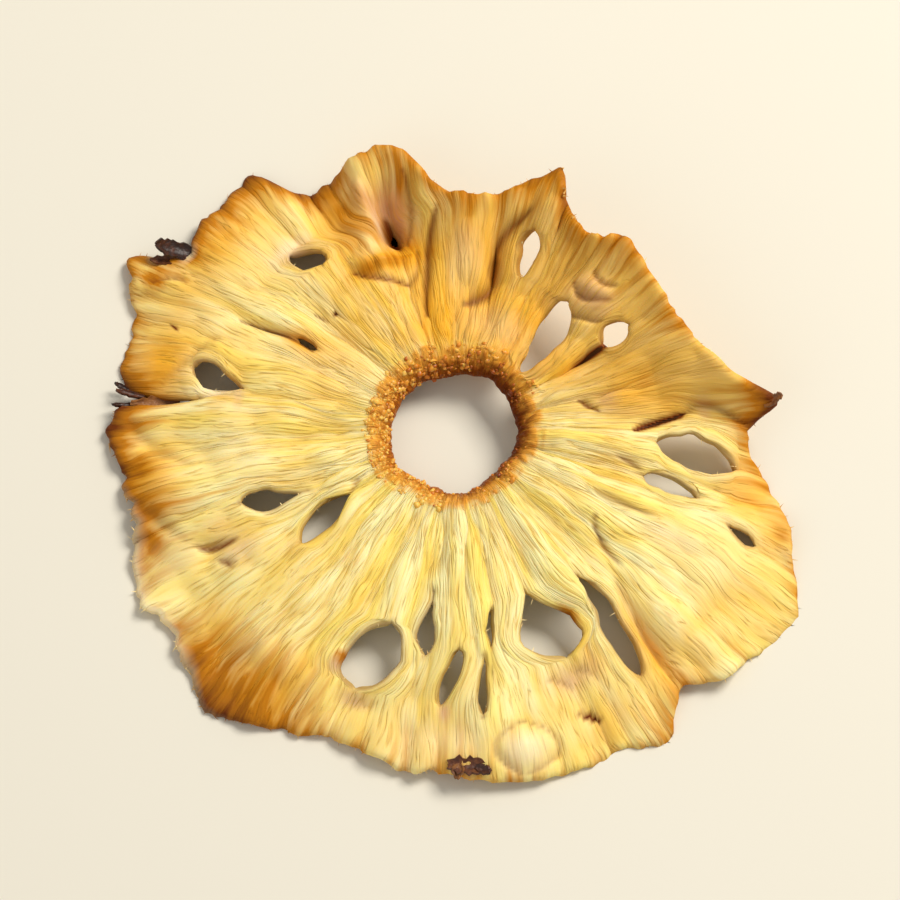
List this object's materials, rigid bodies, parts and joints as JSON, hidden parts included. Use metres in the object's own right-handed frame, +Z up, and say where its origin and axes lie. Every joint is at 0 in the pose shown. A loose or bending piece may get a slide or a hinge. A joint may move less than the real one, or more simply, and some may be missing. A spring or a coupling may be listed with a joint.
{
  "type": "dried pineapple ring",
  "caption": "Thin dried ring of pineapple with its core cut out, a low ruffled fan on one side and a curled-up wing on the other, pierced by teardrop seed chambers.",
  "frame": {"origin": "middle of the ring's box, on the surface it lies on", "axes": "+Z up, out of the face that shows; +Y from the low fan towards the curled-up wing; +X to the right with the wing at the back"},
  "size_m": [0.0832, 0.0796, 0.0139],
  "materials": {
    "dried_fruit": "dry and leathery, satin, fibrous"
  },
  "bodies": {
    "root": {"pineapple_ring": "dried_fruit"}
  },
  "joints": []
}
